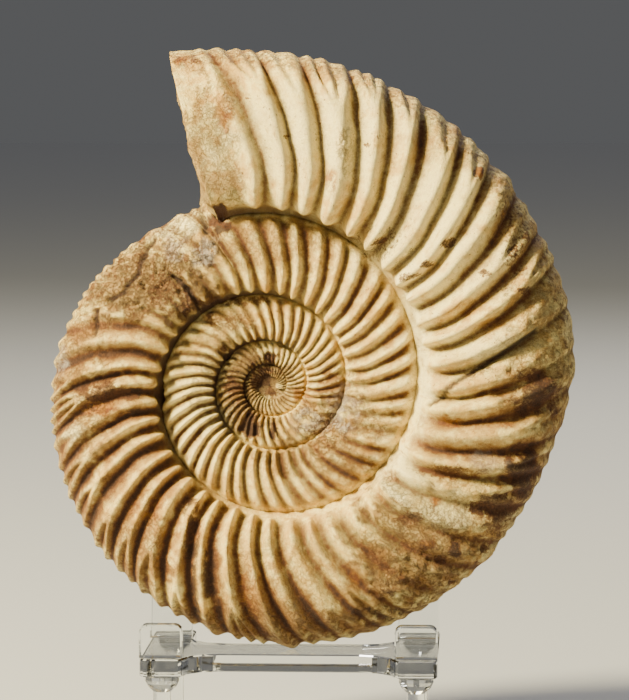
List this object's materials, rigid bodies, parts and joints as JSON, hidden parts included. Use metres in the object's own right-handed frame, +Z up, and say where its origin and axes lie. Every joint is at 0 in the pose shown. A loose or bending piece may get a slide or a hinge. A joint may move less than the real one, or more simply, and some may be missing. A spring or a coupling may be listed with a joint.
{
  "type": "fossil ammonite",
  "caption": "Ribbed spiral ammonite fossil standing on edge in a clear plastic display stand with low front tabs and tall back rests.",
  "frame": {"origin": "on the surface it stands on, under the middle of the whole object's box", "axes": "+Z up; -Y is the front, from which the pictured side of the shell is seen; +X to the right of it"},
  "size_m": [0.1244, 0.0466, 0.1636],
  "materials": {
    "fossil_stone": "matt cream stone with brown and orange iron stain in the valleys between the ribs",
    "clear_acrylic": "clear, polished"
  },
  "bodies": {
    "root": {"ammonite": "fossil_stone", "stand_plate": "clear_acrylic", "front_left_tab": "clear_acrylic", "front_right_tab": "clear_acrylic", "back_left_rest": "clear_acrylic", "back_right_rest": "clear_acrylic", "front_left_leg": "clear_acrylic", "front_right_leg": "clear_acrylic", "back_left_leg": "clear_acrylic", "back_right_leg": "clear_acrylic"}
  },
  "joints": []
}
